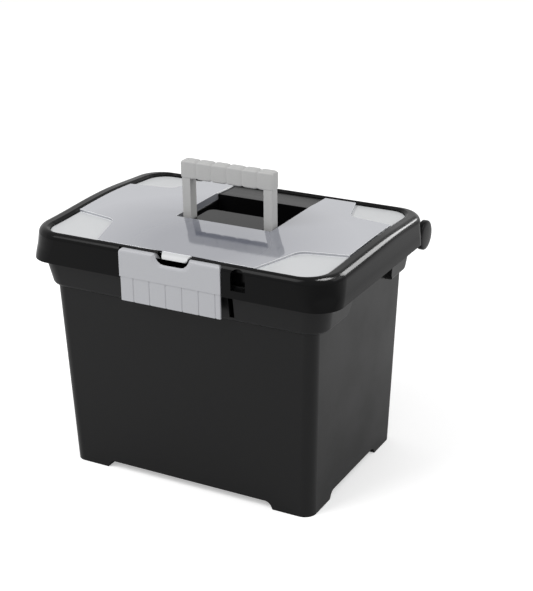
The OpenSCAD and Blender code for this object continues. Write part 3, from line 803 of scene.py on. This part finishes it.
# How much larger the notch is at each distance behind the latch's face
NOTCH_FLARE = ((-1, 5.4), (0, 4.4), (0.6, 2.6), (1.6, 1.1), (LATCH_WALL, 0.2), (12, 0))
GRIP_X, GRIP_INSET, GRIP_ROUND, GROOVE, GROOVE_SHIFT = 62.6, 0.7, 0.9, 0.35, 5
BACKING_X, BACKING_INSET = 62.2, 1.3
HOOK_X, HOOK_BACK, HOOK_LOW, HOOK_TOP = 40, -126.2, 233.5, 236.5
LATCH_PIN_R, LATCH_PIN_X = 1.7, 67.5


def finger_notch():
    """A tapered notch that is widest at the front face, so that its edge is a slanted scoop."""
    outlines = []
    for behind, grow in NOTCH_FLARE:
        # The points above the cover's top stay at their height
        outline = [(x - grow, z if z > COVER_TOP else z - grow) for x, z in NOTCH_OUTLINE]
        outline += [(-x, z) for x, z in reversed(outline)]
        outlines.append([place(NOTCH_X + x, LATCH_FRONT + behind, z) for x, z in outline])
    return loft(outlines)


def smooth_half():
    """The smooth upper half: a plate with the barrel along its top, rounded at both ends."""
    face = box(-LATCH_X, LATCH_X, LATCH_FRONT, LATCH_FRONT + LATCH_WALL, GRIP_TOP, PIVOT_Z)
    plate = to_object(face, "latch_shell")
    join(plate, rod(BARREL, -LATCH_X, LATCH_X, PIVOT_Y, PIVOT_Z, 64))
    ends = box(-LATCH_X, LATCH_X, -150, -110, 200, PIVOT_Z + BARREL)
    round_off(ends, edges_at(edges_along(ends, 1), 2, PIVOT_Z + BARREL), BARREL, 6)
    return combine(plate, as_objects([ends]), "INTERSECT")


def grip_ribs():
    """The ribs of the grip: shallow rounded bars side by side, with narrow grooves between them."""
    grooves = [i * GROOVE_PITCH - GROOVE_SHIFT for i in range(-2, 4)]
    edges = [-GRIP_X, *grooves, GRIP_X]
    for left, right in zip(edges, edges[1:]):
        bm = box(left + GROOVE, right - GROOVE, LATCH_FRONT + GRIP_INSET, LATCH_FRONT + LATCH_WALL,
            LATCH_BOTTOM, GRIP_TOP + 0.5)
        front = edges_at(edges_along(bm, 2), 1, LATCH_FRONT + GRIP_INSET)
        yield round_off(bm, front, GRIP_ROUND, 3)


latch = smooth_half()
backing = box(-BACKING_X, BACKING_X, LATCH_FRONT + BACKING_INSET, LATCH_FRONT + LATCH_WALL,
    LATCH_BOTTOM + 0.4, GRIP_TOP + 1)
hook = box(-HOOK_X, HOOK_X, LATCH_FRONT + LATCH_WALL - 0.5, HOOK_BACK, HOOK_LOW, HOOK_TOP)
latch_pin = rod(LATCH_PIN_R, -LATCH_PIN_X, LATCH_PIN_X, PIVOT_Y, PIVOT_Z, 24)
join(latch, backing, *grip_ribs(), hook, latch_pin)
cut(latch, finger_notch())
soften(latch, 0.5, 3)
report(latch)

# %% [markdown]
# The handle is a neutral grey bow. Its grip is a row of six lobes for the fingers with fine ribs
# down the front and back, and its legs are plain square posts that end in round trunnions.

# %% Handle
HANDLE_X, LEG, DEPTH, HANDLE_TOP, GRIP = 58.6, 11.5, 14.5, 355, 21.5
LOBES, RIBS, LOBE_R = 6, 16, 2.5
VALLEY, WAIST_Y, WAIST_Z = 0.045, 0.08, 0.13
LEG_INSET, LEG_SIDE_INSET, TRUNNION_TIP = 0.7, 1.1, 64.5
CORE_INSET = 1.7


def lobe(index):
    """One lobe of the grip, thickest in its middle, with fine ribs that run up and down."""
    width = 2 * HANDLE_X / LOBES
    left = -HANDLE_X + index * width
    bm = box(left + 0.05, left + width - 0.05, -DEPTH / 2, DEPTH / 2, HANDLE_TOP - GRIP, HANDLE_TOP)
    round_off(bm, edges_along(bm, 0), LOBE_R, 5)
    for i in range(1, RIBS):
        lay_edges(bm, 0, left + width * i / RIBS)
    middle = place(0, 0, HANDLE_TOP - GRIP / 2)
    for vert in bm.verts:
        along = 2 * (vert.co.x / MM - left) / width - 1
        valley = VALLEY if round((along + 1) * RIBS / 2) % 2 else 0
        vert.co.y = LID_MIDDLE_Y + (vert.co.y - LID_MIDDLE_Y) * (1 - WAIST_Y * along ** 6 - valley)
        vert.co.z = middle.z + (vert.co.z - middle.z) * (1 - WAIST_Z * along ** 6)
    return bm


def leg():
    """A square post with its round lower end and trunnion, on the right."""
    half = DEPTH / 2 - LEG_INSET
    outer = HANDLE_X - LEG_SIDE_INSET
    post = box(HANDLE_X - LEG, outer, -half, half, TRUNNION_Z, HANDLE_TOP - 6)
    end = rod(half, HANDLE_X - LEG, outer, 0, TRUNNION_Z)
    trunnion = rod(TRUNNION_R, outer - 1, TRUNNION_TIP, 0, TRUNNION_Z)
    return [post, end, trunnion]


core = box(-HANDLE_X + 2, HANDLE_X - 2, -DEPTH / 2 + 1, DEPTH / 2 - 1, HANDLE_TOP - GRIP + CORE_INSET,
    HANDLE_TOP - CORE_INSET)
handle = to_object(core, "handle_bow")
join(handle, *[lobe(i) for i in range(LOBES)])
join(handle, *leg(), *[mirrored(solid) for solid in leg()])
soften(handle, 0.4, 2, 40)
report(handle)

# %% [markdown]
# Each hinge pin is a turned shape: a shank through the ear and the lid, and a round domed head at
# the corner of the box. Half of its outline is drawn once and spun round the hinge axis.

# %% Hinge pins
HEAD_R, HEAD_X = 17.4, 190.5
# The shank, the step that stands off the ear, and the domed head, as x and radius
PIN_OUTLINE = ((166, 0), (166, 2.6), (166.8, 3.2), (181.5, 3.2), (181.5, 12), (183.1, 12),
    (183.1, HEAD_R - 0.5), (183.6, HEAD_R), (188, HEAD_R), (189, HEAD_R - 0.6), (189.7, HEAD_R - 2),
    (190.2, HEAD_R - 5), (HEAD_X, 6), (HEAD_X, 0))


def hinge_pin(name):
    """Spins the outline round the hinge axis."""
    bm = bmesh.new()
    dots = [bm.verts.new(place(x, HINGE_Y, HINGE_Z + r)) for x, r in PIN_OUTLINE]
    lines = [bm.edges.new(pair) for pair in zip(dots, dots[1:])]
    bmesh.ops.spin(bm, geom=dots + lines, cent=place(0, HINGE_Y, HINGE_Z), axis=(1, 0, 0), angle=2 * math.pi,
        steps=64, use_merge=True)
    bmesh.ops.remove_doubles(bm, verts=bm.verts, dist=0.005 * MM)
    bmesh.ops.recalc_face_normals(bm, faces=bm.faces)
    if name.endswith("left"):
        bm = mirrored(bm)
    return soften(to_object(bm, name), 0.25, 2, 35)


pins = {side: hinge_pin(f"pin_{side}") for side in ("left", "right")}
for pin in pins.values():
    report(pin)

# %% [markdown]
# Every moulded surface has a very fine grain and slightly uneven gloss. One node group makes both
# from noise in the piece's own coordinates. Each material says how fine the grain is, and between
# which two values its roughness moves.

# %% Shared node group: moulded grain


def moulded_grain():
    """A group that takes a Scale and two ends for the roughness, and gives a roughness and a height."""
    group = bpy.data.node_groups.new("moulded grain", "ShaderNodeTree")
    for way, names in (("INPUT", ("Scale", "Smooth", "Rough")), ("OUTPUT", ("Roughness", "Height"))):
        for socket in names:
            group.interface.new_socket(socket, in_out=way, socket_type="NodeSocketFloat")
    nodes, links = group.nodes, group.links
    given = nodes.new("NodeGroupInput")
    out = nodes.new("NodeGroupOutput")
    where = nodes.new("ShaderNodeTexCoord")
    fine = nodes.new("ShaderNodeTexNoise")
    fine.inputs["Detail"].default_value = 2
    links.new(where.outputs["Object"], fine.inputs["Vector"])
    links.new(given.outputs["Scale"], fine.inputs["Scale"])
    links.new(fine.outputs["Fac"], out.inputs["Height"])
    broad = nodes.new("ShaderNodeTexNoise")
    broad.inputs["Scale"].default_value = 14
    broad.inputs["Detail"].default_value = 5
    links.new(where.outputs["Object"], broad.inputs["Vector"])
    spread = nodes.new("ShaderNodeMapRange")
    spread.inputs["From Min"].default_value = 0.3
    spread.inputs["From Max"].default_value = 0.7
    links.new(broad.outputs["Fac"], spread.inputs["Value"])
    links.new(given.outputs["Smooth"], spread.inputs["To Min"])
    links.new(given.outputs["Rough"], spread.inputs["To Max"])
    links.new(spread.outputs["Result"], out.inputs["Roughness"])
    return group


GRAIN = moulded_grain()


def moulded_plastic(name, colour, grain_scale, smooth, rough, bump, gloss):
    """A plastic whose grain, roughness and gloss are given."""
    material = bpy.data.materials.new(name)
    material.use_nodes = True
    nodes, links = material.node_tree.nodes, material.node_tree.links
    shader = nodes["Principled BSDF"]
    shader.inputs["Specular IOR Level"].default_value = gloss
    grain = nodes.new("ShaderNodeGroup")
    grain.node_tree = GRAIN
    grain.inputs["Scale"].default_value = grain_scale
    grain.inputs["Smooth"].default_value = smooth
    grain.inputs["Rough"].default_value = rough
    links.new(grain.outputs["Roughness"], shader.inputs["Roughness"])
    relief = nodes.new("ShaderNodeBump")
    relief.inputs["Strength"].default_value = bump
    relief.inputs["Distance"].default_value = 0.0002
    links.new(grain.outputs["Height"], relief.inputs["Height"])
    links.new(relief.outputs["Normal"], shader.inputs["Normal"])
    tint = nodes.new("ShaderNodeMix")
    tint.data_type = "RGBA"
    tint.inputs[6].default_value = (*[c * 0.92 for c in colour], 1)
    tint.inputs[7].default_value = (*[min(1, c * 1.08) for c in colour], 1)
    links.new(grain.outputs["Height"], tint.inputs[0])
    links.new(tint.outputs[2], shader.inputs["Base Color"])
    return material, shader


# %% [markdown]
# The black pieces are a satin plastic that looks almost grey where it mirrors the bright room at a
# flat angle. The lid's plastic is a little deeper than the tub's. The latch is a cool light grey
# and the handle a neutral one.

# %% Black, latch and handle plastics
# Each plastic has its colour, the grain's scale, its lowest and highest roughness, bump and gloss
BLACK = (0.005, 0.005, 0.0053)
DEEP_BLACK = (0.0035, 0.0035, 0.0037)
LATCH_GREY = (0.40, 0.405, 0.425)
HANDLE_GREY = (0.43, 0.43, 0.425)
black_plastic, _ = moulded_plastic("black satin plastic", BLACK, 900, 0.30, 0.40, 0.10, 0.2)
lid_plastic, _ = moulded_plastic("deep black plastic", DEEP_BLACK, 900, 0.15, 0.22, 0.08, 0.09)
latch_plastic, _ = moulded_plastic("cool grey plastic", LATCH_GREY, 1100, 0.36, 0.46, 0.06, 0.35)
handle_plastic, _ = moulded_plastic("neutral grey plastic", HANDLE_GREY, 1100, 0.42, 0.52, 0.08, 0.35)
print("made", black_plastic.name, lid_plastic.name, latch_plastic.name, handle_plastic.name)

# %% [markdown]
# The cover is clear plastic of a faint cool grey. Its middle is polished and mirrors the handle,
# while the pads are frosted and look whiter. A second material on the pads' faces and on the tab
# gives the frost, and a third one paints a highlight onto the rounded edges. The polished sheet
# isn't quite flat, so its mirror image of the handle is shortened: a slight lean of its normals
# does that. Its colour carries a painted reflection: it is paler towards the sides and the back,
# where it mirrors the bright room, and darker near the front middle, under the handle.

# %% Clear cover plastics
# The second colour is a painted highlight for the cover's rounded edges
CLEAR_GREY, PAINTED_EDGE_HIGHLIGHT = (0.19, 0.20, 0.24), (0.85, 0.86, 0.88)
clear_plastic, clear_shader = moulded_plastic("clear grey plastic", CLEAR_GREY, 60, 0.05, 0.10, 0.0, 0.5)
clear_shader.inputs["IOR"].default_value = 3.6
nodes, links = clear_plastic.node_tree.nodes, clear_plastic.node_tree.links
spot = nodes.new("ShaderNodeTexCoord")
axes = nodes.new("ShaderNodeSeparateXYZ")
lean = nodes.new("ShaderNodeBump")
lean.inputs["Strength"].default_value = 1
lean.inputs["Distance"].default_value = 0.13
links.new(spot.outputs["Object"], axes.inputs[0])
links.new(axes.outputs["Y"], lean.inputs["Height"])
links.new(lean.outputs["Normal"], clear_shader.inputs["Normal"])
# Painted reflection and shade: the cover's colour grows paler with distance from a point near the front
# middle, under the handle
reach = nodes.new("ShaderNodeVectorMath")
reach.operation = "DISTANCE"
reach.inputs[1].default_value = (0.01, -0.085, 0.29)
links.new(spot.outputs["Object"], reach.inputs[0])
outward = nodes.new("ShaderNodeMapRange")
outward.inputs["From Min"].default_value = 0.05
outward.inputs["From Max"].default_value = 0.17
links.new(reach.outputs["Value"], outward.inputs["Value"])
painted_light_mix = nodes.new("ShaderNodeMix")
painted_light_mix.data_type = "RGBA"
painted_light_mix.inputs[6].default_value = (0.13, 0.138, 0.175, 1)
painted_light_mix.inputs[7].default_value = (0.34, 0.35, 0.385, 1)
links.new(outward.outputs["Result"], painted_light_mix.inputs[0])
links.new(painted_light_mix.outputs[2], clear_shader.inputs["Base Color"])
clear_shader.inputs["Alpha"].default_value = 0.95
FROST = (0.56, 0.57, 0.58)
frosted_plastic, frosted_shader = moulded_plastic("frosted plastic", FROST, 1500, 0.3, 0.4, 0.15, 0.5)
frosted_shader.inputs["Alpha"].default_value = 0.96
# A near-white material on the cover's bevels: a painted highlight along its rounded edges
painted_highlight_plastic, _ = moulded_plastic("painted edge highlight plastic", PAINTED_EDGE_HIGHLIGHT, 60, 0.15, 0.2, 0.0, 0.5)
print("made", clear_plastic.name, frosted_plastic.name, painted_highlight_plastic.name)

# %% [markdown]
# Each finished piece now gets its materials. The same call ties it to the body it moves with and
# hides the imported piece that it stands for. The frost goes on by place: the faces at the pads'
# height near the corners, and those of the tab.

# %% Put the materials on
PAD_INNER_X, PAD_INNER_Y = 95, 43


def dress(piece, body, slot, nodes, *materials):
    """Gives a piece its materials and its body, and hides the nodes that it stands for. The slot is not used.
    """
    while len(piece.data.materials) < len(materials):
        piece.data.materials.append(None)
    for slot_number, material in enumerate(materials):
        piece.data.materials[slot_number] = material
    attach(piece, body)
    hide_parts(*nodes)


dress(tub, "tub", "black_plastic", ["tub"], black_plastic)
dress(lid, "lid", "black_plastic", ["lid"], lid_plastic)
dress(cover, "organizer_cover", "clear_plastic", ["organizer_cover"], clear_plastic, frosted_plastic,
    painted_highlight_plastic)
dress(latch, "latch", "grey_plastic", ["latch"], latch_plastic)
dress(handle, "handle", "handle_plastic", ["handle"], handle_plastic)
for side, pin in pins.items():
    dress(pin, "tub", "black_plastic", [f"hinge_pin_{side}"], lid_plastic)

frosted = 0
for face in cover.data.polygons:
    x, y = face.center.x / MM, (face.center.y - LID_MIDDLE_Y) / MM
    height = face.center.z / MM - crown(x, y)
    in_corner = abs(x) > PAD_INNER_X and abs(y) > PAD_INNER_Y
    on_pad = in_corner and COVER_TOP - PAD_DROP - 1 < height < COVER_TOP - PAD_DROP + 0.4
    if (on_pad and face.material_index != HIGHLIGHT_SLOT) or y < COVER_FRONT - 0.6:
        face.material_index = FROST_SLOT
        frosted += 1
print(frosted, "frosted faces")

# %% [markdown]
# The room is a plain white studio: a white floor, a bright soft sky, one large soft lamp above and
# in front and a weaker one at the right. Two more lamps show only as reflections: they draw the
# bright line along the lid's right edge and round its front corner. The floor adds light of its own
# where the camera sees it, so that it reads as white, and it still takes the box's shadow. The
# two lamps for the bright lines light the lid alone.

# %% Floor, sky and lamps
floor_mesh = bmesh.new()
bmesh.ops.create_grid(floor_mesh, x_segments=1, y_segments=1, size=6)
floor = to_object(floor_mesh, "floor")
floor_paint = bpy.data.materials.new("white floor")
floor_paint.use_nodes = True
nodes, links = floor_paint.node_tree.nodes, floor_paint.node_tree.links
shader = nodes["Principled BSDF"]
shader.inputs["Base Color"].default_value = (0.9, 0.9, 0.9, 1)
shader.inputs["Roughness"].default_value = 0.9
shader.inputs["Specular IOR Level"].default_value = 0.0
shader.inputs["Emission Color"].default_value = (1, 1, 1, 1)
rays = nodes.new("ShaderNodeLightPath")
lift = nodes.new("ShaderNodeMath")
lift.operation = "MULTIPLY"
lift.inputs[1].default_value = 0.4
links.new(rays.outputs["Is Camera Ray"], lift.inputs[0])
links.new(lift.outputs[0], shader.inputs["Emission Strength"])
floor.data.materials.append(floor_paint)

world = bpy.data.worlds.new("studio")
bpy.context.scene.world = world
world.use_nodes = True
nodes, links = world.node_tree.nodes, world.node_tree.links
sky = nodes["Background"]
sky.inputs["Color"].default_value = (1, 1, 1, 1)
rays = nodes.new("ShaderNodeLightPath")
shows_sky = rays.outputs["Is Camera Ray"]
for kind in ("Is Glossy Ray", "Is Transmission Ray"):
    either = nodes.new("ShaderNodeMath")
    either.operation = "MAXIMUM"
    links.new(shows_sky, either.inputs[0])
    links.new(rays.outputs[kind], either.inputs[1])
    shows_sky = either.outputs[0]
level = nodes.new("ShaderNodeMapRange")
level.inputs["To Min"].default_value = 0.62
level.inputs["To Max"].default_value = 1.0
links.new(shows_sky, level.inputs["Value"])
links.new(level.outputs["Result"], sky.inputs["Strength"])


def soft_lamp(name, stand, aim, size, power):
    """A square area lamp that looks from one place to another."""
    data = bpy.data.lights.new(name, "AREA")
    data.size = size
    data.energy = power
    lamp = bpy.data.objects.new(name, data)
    bpy.context.scene.collection.objects.link(lamp)
    look = (Vector(aim) - Vector(stand)).to_track_quat("-Z", "Y")
    lamp.matrix_world = Matrix.Translation(Vector(stand)) @ look.to_matrix().to_4x4()
    return lamp


soft_lamp("main lamp", stand=(-0.9, -1.4, 2.0), aim=(0, 0, 0.15), size=1.4, power=32)
soft_lamp("side lamp", stand=(1.8, 0.6, 1.3), aim=(0, 0, 0.2), size=1.2, power=12)
shine = bpy.data.collections.new("takes the shine")
shine.objects.link(lid)
edge_lamp = soft_lamp("edge lamp", stand=(0.98, 1.72, 1.21), aim=(0.15, 0, 0.29), size=1.0, power=60)
corner_lamp = soft_lamp("corner lamp", stand=(1.05, 0.1, 2.05), aim=(0.15, -0.1, 0.29), size=0.9, power=140)
for lamp in (edge_lamp, corner_lamp):
    lamp.visible_diffuse = False
    lamp.light_linking.receiver_collection = shine
